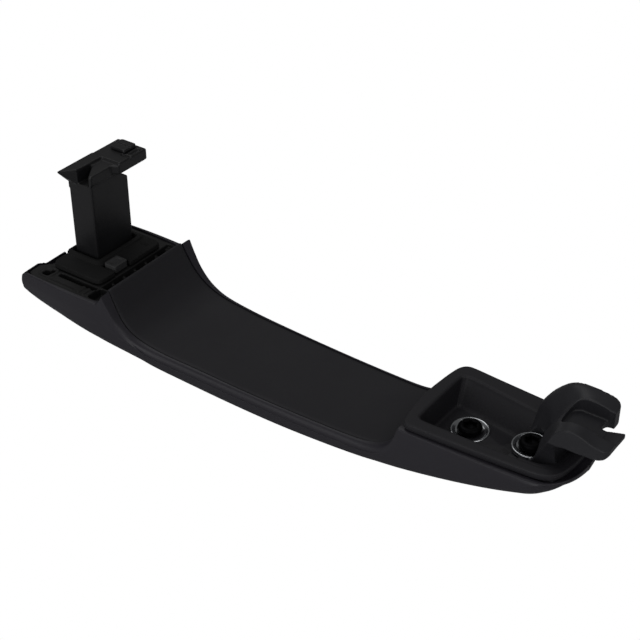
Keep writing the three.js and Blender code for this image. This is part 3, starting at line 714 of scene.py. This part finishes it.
# ---- arm ------------------------------------------------------------------------------------------
@dataclass
class ActuatingArm:
    """The arm that works the latch: flange, column, and the T-shaped hook head."""

    x0: float = -100.5
    x1: float = -89.8
    y0: float = -3.8
    y1: float = 14.7

    def build(self) -> bpy.types.Object:
        """Column, head, near wing with its web, and the pockets that lighten them."""
        x0, x1, y0, y1 = self.x0, self.x1, self.y0, self.y1
        shoulder, under, top = 55.5, 56.8, 61.0
        plan = rounded(
            [(x0, -3.9), (x1 + 0.3, y0 + 0.2), (x1 + 0.3, 6.6), (-87.2, 8.0), (-87.2, 21.6), (-88.0, 22.5),
            (x0, 22.5)], 0.4)
        wing = [(x0, -8.6), (x0 + 0.3, -8.6), (x0 + 4.5, y0 - 0.1), (x0 + 4.8, 1.2), (x0, 1.2)]
        wing_under = [(-14, 50), (y0 - 0.05, 50), (y0 - 0.05, 55.4), (-8.8, top - 0.1), (-14, top - 0.1)]
        far_slope = [(9.8, 56.9), (9.8, 56.0), (15.2, 52.4), (15.2, 56.9)]
        nose = rounded([(x0, 55), (x1 + 0.15, 55), (x1 + 0.15, top - 0.9), (x0, top - 0.9)], 2.2, 9)
        brow = rounded([(x0, under), (-87.2, under), (-87.2, top), (x0, top)], 0.5)
        add = [
            block(x0 - 1, x1 + 1, y0 - 4.4, y1 + 4.4, 18.2, 19.7),
            block(x0, x1, y0, y1, 18.4, shoulder, 0.7),
            carried(nose, Axis.Y, y0, 9.4),
            carried(plan, Axis.Z, under, top - 0.9),
            carried(brow, Axis.Y, 8.4, 22.3),
            carried(wing, Axis.Z, 53.0, top + 0.1),
            carried([(x0, 0.0), (x0 + 4.8, 0.0), (x0 + 4.9, 9.0), (x0, 9.0)], Axis.Z, 58.5, top + 0.1),
        ]
        cut = [
            carried([(x0 + 4.6, -6), (x1 - 0.9, -6), (x1 - 0.9, y0 + 0.1), (x0 + 4.9, 3.7)], Axis.Z, 55.9,
            70),
            carried(wing_under, Axis.X, x0 - 3, x1 + 3),
            carried(far_slope, Axis.X, x0 - 3, x1 + 0.6),
            block(-91.4, -86.0, 13.6, 14.4, 60.3, 63, 0.2),
            block(-89.4, -88.0, 16.0, 20.4, 60.4, 63, 0.4),
            upright_rod(-95.1, -6.1, 1.5, 17, 20.0, 24),
            upright_rod(-95.1, 17.0, 1.5, 17, 20.0, 24),
        ]
        return mould("actuating_arm_moulding", add, cut, 0.27, 4)


@dataclass
class HeadSlider:
    """The thin wear pad clipped on top of the far wing of the head."""

    def build(self) -> bpy.types.Object:
        """A low pad with a groove across it."""
        add = [carried(rectangle(-97.6, -90.4, 14.6, 21.2, 1.0), Axis.Z, 61.2, 62.3, 0.06)]
        cut = [block(-98.5, -89.5, 17.5, 18.3, 61.95, 64, 0.2)]
        return mould("head_slider_pad", add, cut, 0.16, 3)


# ---- claw -----------------------------------------------------------------------------------------
@dataclass
class PivotClaw:
    """The forked claw: a root plate under the second screw, a twisted tongue and two prongs."""

    far: Outline = (
        (76.9, 21.4), (76.9, 23.6), (77.6, 27.6), (78.6, 31.0), (81.2, 35.2), (84.2, 38.7), (87.4, 41.2),
        (90.6, 42.2),
        (94.0, 42.4), (99.0, 42.0), (104.0, 41.0), (109.4, 39.4))
    middle: Outline = (
        (76.9, 20.6), (79.6, 20.7), (82.4, 21.0), (84.2, 23.0), (85.2, 28.6), (87.6, 32.9), (90.2, 37.4),
        (92.4, 40.4),
        (95.4, 41.6), (99.4, 41.6), (104.0, 40.6), (109.4, 39.2))
    near: Outline = (
        (76.9, 20.6), (79.6, 20.7), (82.8, 21.2), (86.2, 23.2), (88.4, 28.2), (90.0, 32.6), (91.6, 36.6),
        (93.4, 39.4),
        (96.0, 41.0), (99.8, 41.2), (104.6, 39.6), (109.4, 39.0))
    under: Outline = (
        (109.4, 37.2), (108.0, 35.9), (105.4, 35.0), (100.0, 34.7), (95.6, 34.6), (93.0, 33.2),
        (92.2, 29.6), (92.6, 25.6),
        (93.4, 23.4), (90.4, 21.2), (87.8, 19.5), (82.0, 19.5), (76.9, 19.5))

    def tongue(self) -> Solid:
        """Sections across the width, blended from the near profile through the middle to the far one."""
        y = np.linspace(-11, 11, 34)
        low = through(self.under, 70)
        near, middle, far = (through(p, 90) for p in (self.near, self.middle, self.far))
        toward_near = smooth_step((-y - 1) / 10)[:, None, None]
        toward_far = smooth_step((y - 2.0) / 8.0)[:, None, None]
        top = middle + toward_near * (near - middle) + toward_far * (far - middle)
        section = np.concatenate([top, np.repeat(low[None], len(y), axis=0)], axis=1)
        rings = np.stack([section[..., 0], np.repeat(y[:, None], section.shape[1], axis=1),
            section[..., 1]], axis=2)
        return ring_solid(rings)

    def build(self) -> bpy.types.Object:
        """The tongue with its fork, neck and screw recess cut in."""
        slot = rounded([(91.4, -6.2), (104.2, -6.2), (104.2, 5.0), (91.4, 5.0)], 3.2, 9)
        run_out = [(103.6, 37.1), (106.6, 38.0), (112.0, 39.5), (112.0, 60), (103.6, 60)]
        notch = rounded([(101.4, 0.6), (130, 0.6), (130, 5.0), (101.4, 5.0)], 2.0, 11)
        far_end = np.vstack([[(104.0, 3.0), (104.0, 7.4)], _arc(100.4, 7.4, 3.6, 0, 90),
            [(100.4, 14), (130, 14), (130, 3.0)]])
        near_end = np.vstack([[(130, -14), (130, -3), (109.3, -3)], _arc(107.4, -9.1, 1.9, 0, -90),
                              [(107.4, -14)]])
        neck = rounded([(-14, 16), (-7.4, 16), (-7.2, 24.5), (-8.4, 30), (-11.4, 35.2), (-14, 35.2)], 1.4)
        cut = [
            carried(slot, Axis.Z, 37.1, 60),
            carried(run_out, Axis.Y, -6.2, 5.0),
            carried(notch, Axis.Z, 10, 60),
            carried(far_end, Axis.Z, 10, 60),
            carried(near_end, Axis.Z, 10, 60),
            carried(neck, Axis.X, 76.0, 112),
            upright_rod(81.2, 0, 6.7, 20.4, 24.2, 64),
            upright_rod(81.2, 0, 3.4, 20.4, 60, 48),
            upright_rod(81.2, 0, 2.5, 10, 60, 32),
        ]
        return mould("pivot_claw_moulding", [self.tongue()], cut, 0.25, 5)


def _arc(x: float, y: float, radius: float, start: float, end: float) -> np.ndarray:
    """Points on an arc about (x, y), angles in degrees."""
    a = np.radians(np.linspace(start, end, 12))
    return np.column_stack([x + radius * np.cos(a), y + radius * np.sin(a)])


# ---- fasteners ------------------------------------------------------------------------------------
@dataclass
class Washer:
    """A bright washer with a rolled outer edge and a shallow dish towards the hole."""

    name: str
    x: float
    seat: float

    def build(self) -> bpy.types.Object:
        """Turned from its section."""
        z = self.seat + 0.3
        section = [
            (2.7, z + 0.1), (2.9, z), (6.0, z), (6.25, z + 0.2), (6.3, z + 0.6), (6.2, z + 0.95),
            (5.95, z + 1.15),
            (5.65, z + 1.1), (5.2, z + 0.82), (4.7, z + 0.5), (4.4, z + 0.42), (3.0, z + 0.42),
            (2.7, z + 0.3)]
        return turned(self.name, through(section, 60, closed=True), self.x, 0.0, 128)


@dataclass
class TorxScrew:
    """A flanged button-head screw with a six-lobed socket and a threaded shank."""

    name: str
    x: float
    under: float
    length: float
    head: float = 4.1
    height: float = 1.9

    def build(self) -> bpy.types.Object:
        """Rings from the tip up over the head and down into the lobed socket."""
        z, top = self.under, self.under + self.height
        turns = np.linspace(0, 2 * math.pi, 96, endpoint=False)
        rows: list[tuple[float, float, float]] = [(0.6, z - self.length, 0), (1.6, z - self.length + 0.5, 0)]
        pitch = 0.8
        for k in range(int((self.length - 0.9) / pitch)):
            base = z - self.length + 0.6 + k * pitch
            rows += [(1.75, base, 0), (2.15, base + 0.35, 0), (2.15, base + 0.45, 0)]
        rows += [(1.9, z - 0.05, 0), (self.head * 0.96, z, 0), (self.head, z + 0.25, 0),
            (self.head * 0.97, z + 0.6, 0)]
        rows += [
            (self.head * (0.66 + 0.3 * math.cos(a)), z + 0.6 + (self.height - 0.6) * math.sin(a), 0)
            for a in np.radians([10, 30, 50, 70, 90])]
        rows += [(2.45, top, 0), (2.2, top - 0.05, 0.5), (1.98, top - 0.25, 1), (1.92, top - 1.4, 1),
            (0.5, top - 1.75, 0.2)]
        lobes = np.cos(6 * turns)
        rings = []
        for r, h, lobed in rows:
            reach = r * (1 + 0.11 * lobed * lobes)
            rings.append(np.column_stack([self.x + reach * np.cos(turns), reach * np.sin(turns),
                np.full(96, h)]))
        return ring_surface(self.name, np.stack(rings), sharp_deg=35)


# ---- materials ------------------------------------------------------------------------------------
def linear(colour: str) -> tuple[float, float, float, float]:
    """A screen colour such as "#343338" as linear light with full alpha."""
    parts = [int(colour[i : i + 2], 16) / 255 for i in (1, 3, 5)]
    r, g, b = (c / 12.92 if c <= 0.04045 else ((c + 0.055) / 1.055) ** 2.4 for c in parts)
    return (r, g, b, 1.0)


class Grain(Enum):
    """How the surface was made, which decides the pattern its relief comes from."""

    POLISHED_MOULD = "polished mould"
    SPARK_ERODED = "spark-eroded mould"
    GLASS_FILLED = "glass-filled nylon"
    MOULDED_RUBBER = "moulded rubber"
    PLATED = "barrel-plated steel"
    DRAWN = "drawn metal"


@dataclass(frozen=True)
class Finish:
    """A material by what it is made of and how. Sizes are real, in millimetres."""

    name: str
    slot: str
    colour: str
    second: str
    roughness: float
    grain: Grain
    grain_mm: float
    relief_mm: float
    spread: float = 0.06
    patch_mm: float = 14.0
    metallic: float = 0.0
    specular: float = 0.5


def add_node(tree: bpy.types.NodeTree, kind: str, settings: dict | None = None, links: dict | None = None):
    """Adds a node, sets what is named in settings and joins what is named in links.

    Args:
        tree: The node tree.
        kind: Blender's name of the node type.
        settings: Property names or input names to values.
        links: Input names to the output sockets that feed them.

    Returns:
        The node.
    """
    made = tree.nodes.new(kind)
    for key, value in (settings or {}).items():
        if hasattr(made, key) and key not in made.inputs:
            setattr(made, key, value)
        else:
            made.inputs[key].default_value = value
    for key, socket in (links or {}).items():
        tree.links.new(socket, made.inputs[key])
    return made


def build_material(finish: Finish) -> bpy.types.Material:
    """The finish as a procedural material, its patterns laid out in real millimetres.

    A broad cloud mixes the two colours and shifts the gloss, so that the highlight breaks up slightly.
    A fine pattern gives the relief left by the mould, plating or drawing.
    """
    made = bpy.data.materials.new(finish.name)
    made.use_nodes = True
    tree = made.node_tree
    tree.nodes.clear()
    where = add_node(tree, "ShaderNodeTexCoord").outputs["Object"]
    cloud = add_node(
        tree, "ShaderNodeTexNoise", {"Scale": 1 / (finish.patch_mm * MM), "Detail": 3.0, "Roughness": 0.55},
        {"Vector": where})
    colour = add_node(tree, "ShaderNodeMix", {"data_type": "RGBA"}, {0: cloud.outputs["Fac"]})
    colour.inputs[6].default_value = linear(finish.colour)
    colour.inputs[7].default_value = linear(finish.second)
    gloss = add_node(
        tree, "ShaderNodeMapRange",
        {"From Min": 0.3, "From Max": 0.7, "To Min": finish.roughness - finish.spread,
         "To Max": finish.roughness + finish.spread},
        {"Value": cloud.outputs["Fac"]})
    relief = fine_pattern(tree, finish, where)
    bump = add_node(
        tree, "ShaderNodeBump", {"Strength": 1.0, "Distance": finish.relief_mm * MM}, {"Height": relief})
    shader = add_node(
        tree, "ShaderNodeBsdfPrincipled",
        {"Metallic": finish.metallic, "Specular IOR Level": finish.specular},
        {"Base Color": colour.outputs[2], "Roughness": gloss.outputs["Result"],
        "Normal": bump.outputs["Normal"]})
    add_node(tree, "ShaderNodeOutputMaterial", {}, {"Surface": shader.outputs["BSDF"]})
    return made


def fine_pattern(tree: bpy.types.NodeTree, finish: Finish,
    where: bpy.types.NodeSocket) -> bpy.types.NodeSocket:
    """The fine relief of a finish, as a height from 0 to 1."""
    scale = 1 / (finish.grain_mm * MM)
    if finish.grain is Grain.SPARK_ERODED:
        # Overlapping craters: the eye reads them as an even matt grain that kills the highlight.
        cells = add_node(tree, "ShaderNodeTexVoronoi", {"feature": "SMOOTH_F1", "Scale": scale},
            {"Vector": where})
        return cells.outputs["Distance"]
    if finish.grain in (Grain.GLASS_FILLED, Grain.DRAWN):
        # Fibres and draw marks run one way, so the noise is stretched along X.
        stretch = (0.12, 1.0, 1.0) if finish.grain is Grain.GLASS_FILLED else (0.03, 1.0, 1.0)
        run = add_node(tree, "ShaderNodeMapping", {"Scale": stretch}, {"Vector": where})
        streaks = add_node(
            tree, "ShaderNodeTexNoise", {"Scale": scale, "Detail": 2.0}, {"Vector": run.outputs["Vector"]})
        return streaks.outputs["Fac"]
    detail = {Grain.POLISHED_MOULD: 1.0, Grain.MOULDED_RUBBER: 4.0, Grain.PLATED: 2.0}[finish.grain]
    noise = add_node(tree, "ShaderNodeTexNoise", {"Scale": scale, "Detail": detail}, {"Vector": where})
    return noise.outputs["Fac"]


FINISHES: tuple[Finish, ...] = (
    Finish("satin_black_abs", "satin_shell", "#2d2b32", "#312f36", 0.44, Grain.POLISHED_MOULD, 0.9, 0.006,
    0.03, 22),
    Finish("spark_grained_abs", "grained_liner", "#222126", "#26252a", 0.6, Grain.SPARK_ERODED, 0.32, 0.02,
    0.04, 16),
    Finish("glass_filled_nylon", "carrier_nylon", "#0f0f10", "#151516", 0.62, Grain.GLASS_FILLED, 0.5, 0.02,
    0.06, 7),
    Finish("moulded_epdm_rubber", "seal_rubber", "#0a0a0b", "#0f0f10", 0.85, Grain.MOULDED_RUBBER, 0.6,
    0.02, 0.05, 5),
    Finish("grey_buffer_rubber", "buffer_rubber", "#3a3a3b", "#444445", 0.7, Grain.MOULDED_RUBBER, 0.6,
    0.02, 0.05, 4),
    Finish("black_acetal", "arm_plastic", "#1a1a1c", "#1f1f21", 0.4, Grain.POLISHED_MOULD, 1.1, 0.008, 0.05,
    9),
    Finish("blue_grey_acetal", "claw_plastic", "#2a2a2e", "#303034", 0.46, Grain.POLISHED_MOULD, 0.8, 0.008,
    0.05, 8),
    Finish("bright_zinc_plate", "zinc_plate", "#c6c9cd", "#d2d4d6", 0.22, Grain.PLATED, 0.5, 0.004, 0.05, 3,
    1.0),
    Finish("black_phosphate_steel", "black_steel", "#141415", "#1c1c1e", 0.5, Grain.PLATED, 0.3, 0.008,
    0.08, 2, 1.0),
    Finish("turned_brass", "brass", "#b08d4a", "#a5823f", 0.32, Grain.DRAWN, 0.3, 0.008, 0.05, 3, 1.0),
    Finish("spring_steel_strip", "spring_steel", "#6d7076", "#7a7d82", 0.35, Grain.DRAWN, 0.25, 0.006, 0.06,
    4, 1.0),
)


# ---- assembly -------------------------------------------------------------------------------------
@dataclass(frozen=True)
class Piece:
    """One visual piece: what builds it, what it stands for, its finish and the body it moves with."""

    build: Callable[[], bpy.types.Object]
    nodes: tuple[str, ...]
    slot: str
    body: str = "grip"


PIECES: tuple[Piece, ...] = (
    Piece(OuterShell().build, ("outer_shell",), "satin_shell"),
    Piece(LinerStrip().build, ("grip_liner",), "grained_liner"),
    Piece(PocketBlock().build, ("grip_liner",), "grained_liner"),
    Piece(WellRamp().build, ("grip_liner",), "grained_liner"),
    Piece(FootPlate().build, ("foot_plate",), "carrier_nylon"),
    Piece(SealPad().build, ("foot_seal_pad",), "seal_rubber", "door_side"),
    Piece(Buffer().build, ("foot_buffer",), "buffer_rubber"),
    Piece(ActuatingArm().build, ("actuating_arm",), "arm_plastic"),
    Piece(HeadSlider().build, ("head_slider",), "arm_plastic"),
    Piece(PivotClaw().build, ("pivot_claw",), "claw_plastic"),
    Piece(Washer("pocket_washer_ring", 60.1, 16.6).build, ("pocket_washer",), "zinc_plate"),
    Piece(Washer("claw_washer_ring", 81.2, 20.4).build, ("claw_washer",), "zinc_plate"),
    Piece(TorxScrew("pocket_torx_screw", 60.1, 18.0, 5.9).build, ("pocket_screw",), "black_steel"),
    Piece(TorxScrew("claw_torx_screw", 81.2, 21.9, 5.5).build, ("claw_screw",), "black_steel"),
)

CARRIED_OVER: dict[str, str] = {
    "carrier_beam": "carrier_nylon",
    "arm_screw_1": "black_steel",
    "arm_screw_2": "black_steel",
    "pocket_insert": "brass",
    "claw_insert": "brass",
    "liner_clip_1": "spring_steel",
    "liner_clip_2": "spring_steel",
    "liner_clip_3": "spring_steel",
    "liner_clip_4": "spring_steel",
}


@dataclass
class Studio:
    """A pale table, soft lights and the camera."""

    lights: tuple[tuple[str, tuple[float, float, float], float, float], ...] = (
        ("front_panel", (0.00, -1.60, 0.55), 1.8, 10.5),
        ("top_panel", (-0.50, 0.30, 1.10), 0.7, 1.6),
        ("end_panel", (0.95, -0.10, 0.95), 0.6, 1.5),
    )

    def floor(self) -> None:
        """A wide pale table under the handle. Its face shows the camera an even white."""
        half = 3.0
        mesh = bpy.data.meshes.new("table")
        mesh.from_pydata([(-half, -half, 0), (half, -half, 0), (half, half, 0), (-half, half, 0)], [],
            [(0, 1, 2, 3)])
        table = bpy.data.objects.new("table", mesh)
        table.location = (0, 0, -0.0004)
        bpy.context.scene.collection.objects.link(table)
        made = bpy.data.materials.new("pale_table")
        made.use_nodes = True
        tree = made.node_tree
        tree.nodes.clear()
        eye = add_node(tree, "ShaderNodeLightPath").outputs["Is Camera Ray"]
        matt = add_node(tree, "ShaderNodeBsdfDiffuse", {"Color": (0.62, 0.62, 0.63, 1)})
        glow = add_node(tree, "ShaderNodeEmission", {"Color": (1, 1, 1, 1), "Strength": 1.0})
        mix = add_node(tree, "ShaderNodeMixShader", {},
            {0: eye, 1: matt.outputs["BSDF"], 2: glow.outputs["Emission"]})
        add_node(tree, "ShaderNodeOutputMaterial", {}, {"Surface": mix.outputs["Shader"]})
        mesh.materials.append(made)
        table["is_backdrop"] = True

    def lamps(self) -> None:
        """Large soft panels, each turned to the middle of the handle."""
        for name, place, size, power in self.lights:
            data = bpy.data.lights.new(name, "AREA")
            data.size = size
            data.energy = power
            lamp = bpy.data.objects.new(name, data)
            lamp.location = place
            aim = Vector((0.0, 0.0, 0.02)) - Vector(place)
            lamp.rotation_euler = aim.to_track_quat("-Z", "Y").to_euler()
            bpy.context.scene.collection.objects.link(lamp)
        world = bpy.data.worlds.new("studio")
        bpy.context.scene.world = world
        world.use_nodes = True
        sky = world.node_tree.nodes["Background"]
        sky.inputs["Color"].default_value = (1.0, 1.0, 1.0, 1.0)
        sky.inputs["Strength"].default_value = 0.1

    def camera(self) -> None:
        """A long lens from the claw end, looking down at the finger side."""
        data = bpy.data.cameras.new("camera")
        data.lens = 80.27
        data.sensor_width = 36.0
        data.clip_start = 0.01
        seen = bpy.data.objects.new("camera", data)
        seen.location = (0.22173, -0.30718, 0.29332)
        seen.rotation_euler = Euler((math.radians(55.7), 0.0, math.radians(35.4)))
        bpy.context.scene.collection.objects.link(seen)
        bpy.context.scene.camera = seen

    def build(self) -> None:
        """Everything that is not the handle."""
        self.floor()
        self.lamps()
        self.camera()
        bpy.context.scene.view_settings.view_transform = "Standard"


@dataclass
class DoorHandle:
    """The whole handle: every piece built, painted and set to move with its body."""

    frame: dict
    paints: dict[str, bpy.types.Material] = field(default_factory=dict)

    def paint(self, piece: bpy.types.Object, slot: str) -> None:
        """Gives a piece the one material of its slot."""
        piece.data.materials.clear()
        piece.data.materials.append(self.paints[slot])

    def build(self) -> None:
        """Materials first, then the new pieces, then the CAD pieces that stay as they are."""
        self.paints = {f.slot: build_material(f) for f in FINISHES}
        for item in PIECES:
            made = item.build()
            self.paint(made, item.slot)
            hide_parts(*item.nodes)
            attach(made, item.body)
            LOG.info("%s: %d faces, %s", made.name, len(made.data.polygons), item.slot)
        for node, slot in CARRIED_OVER.items():
            kept = self.frame["nodes"][node]
            self.paint(kept, slot)
            LOG.info("%s: kept, %s", node, slot)


def corners() -> list[list[float]]:
    """The lowest and highest corner of what is shown, as plain lists."""
    return [list(map(float, c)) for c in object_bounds()]


def main() -> None:
    """Loads the frame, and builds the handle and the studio."""
    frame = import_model()
    DoorHandle(frame).build()
    Studio().build()


if __name__ == "__main__":
    main()
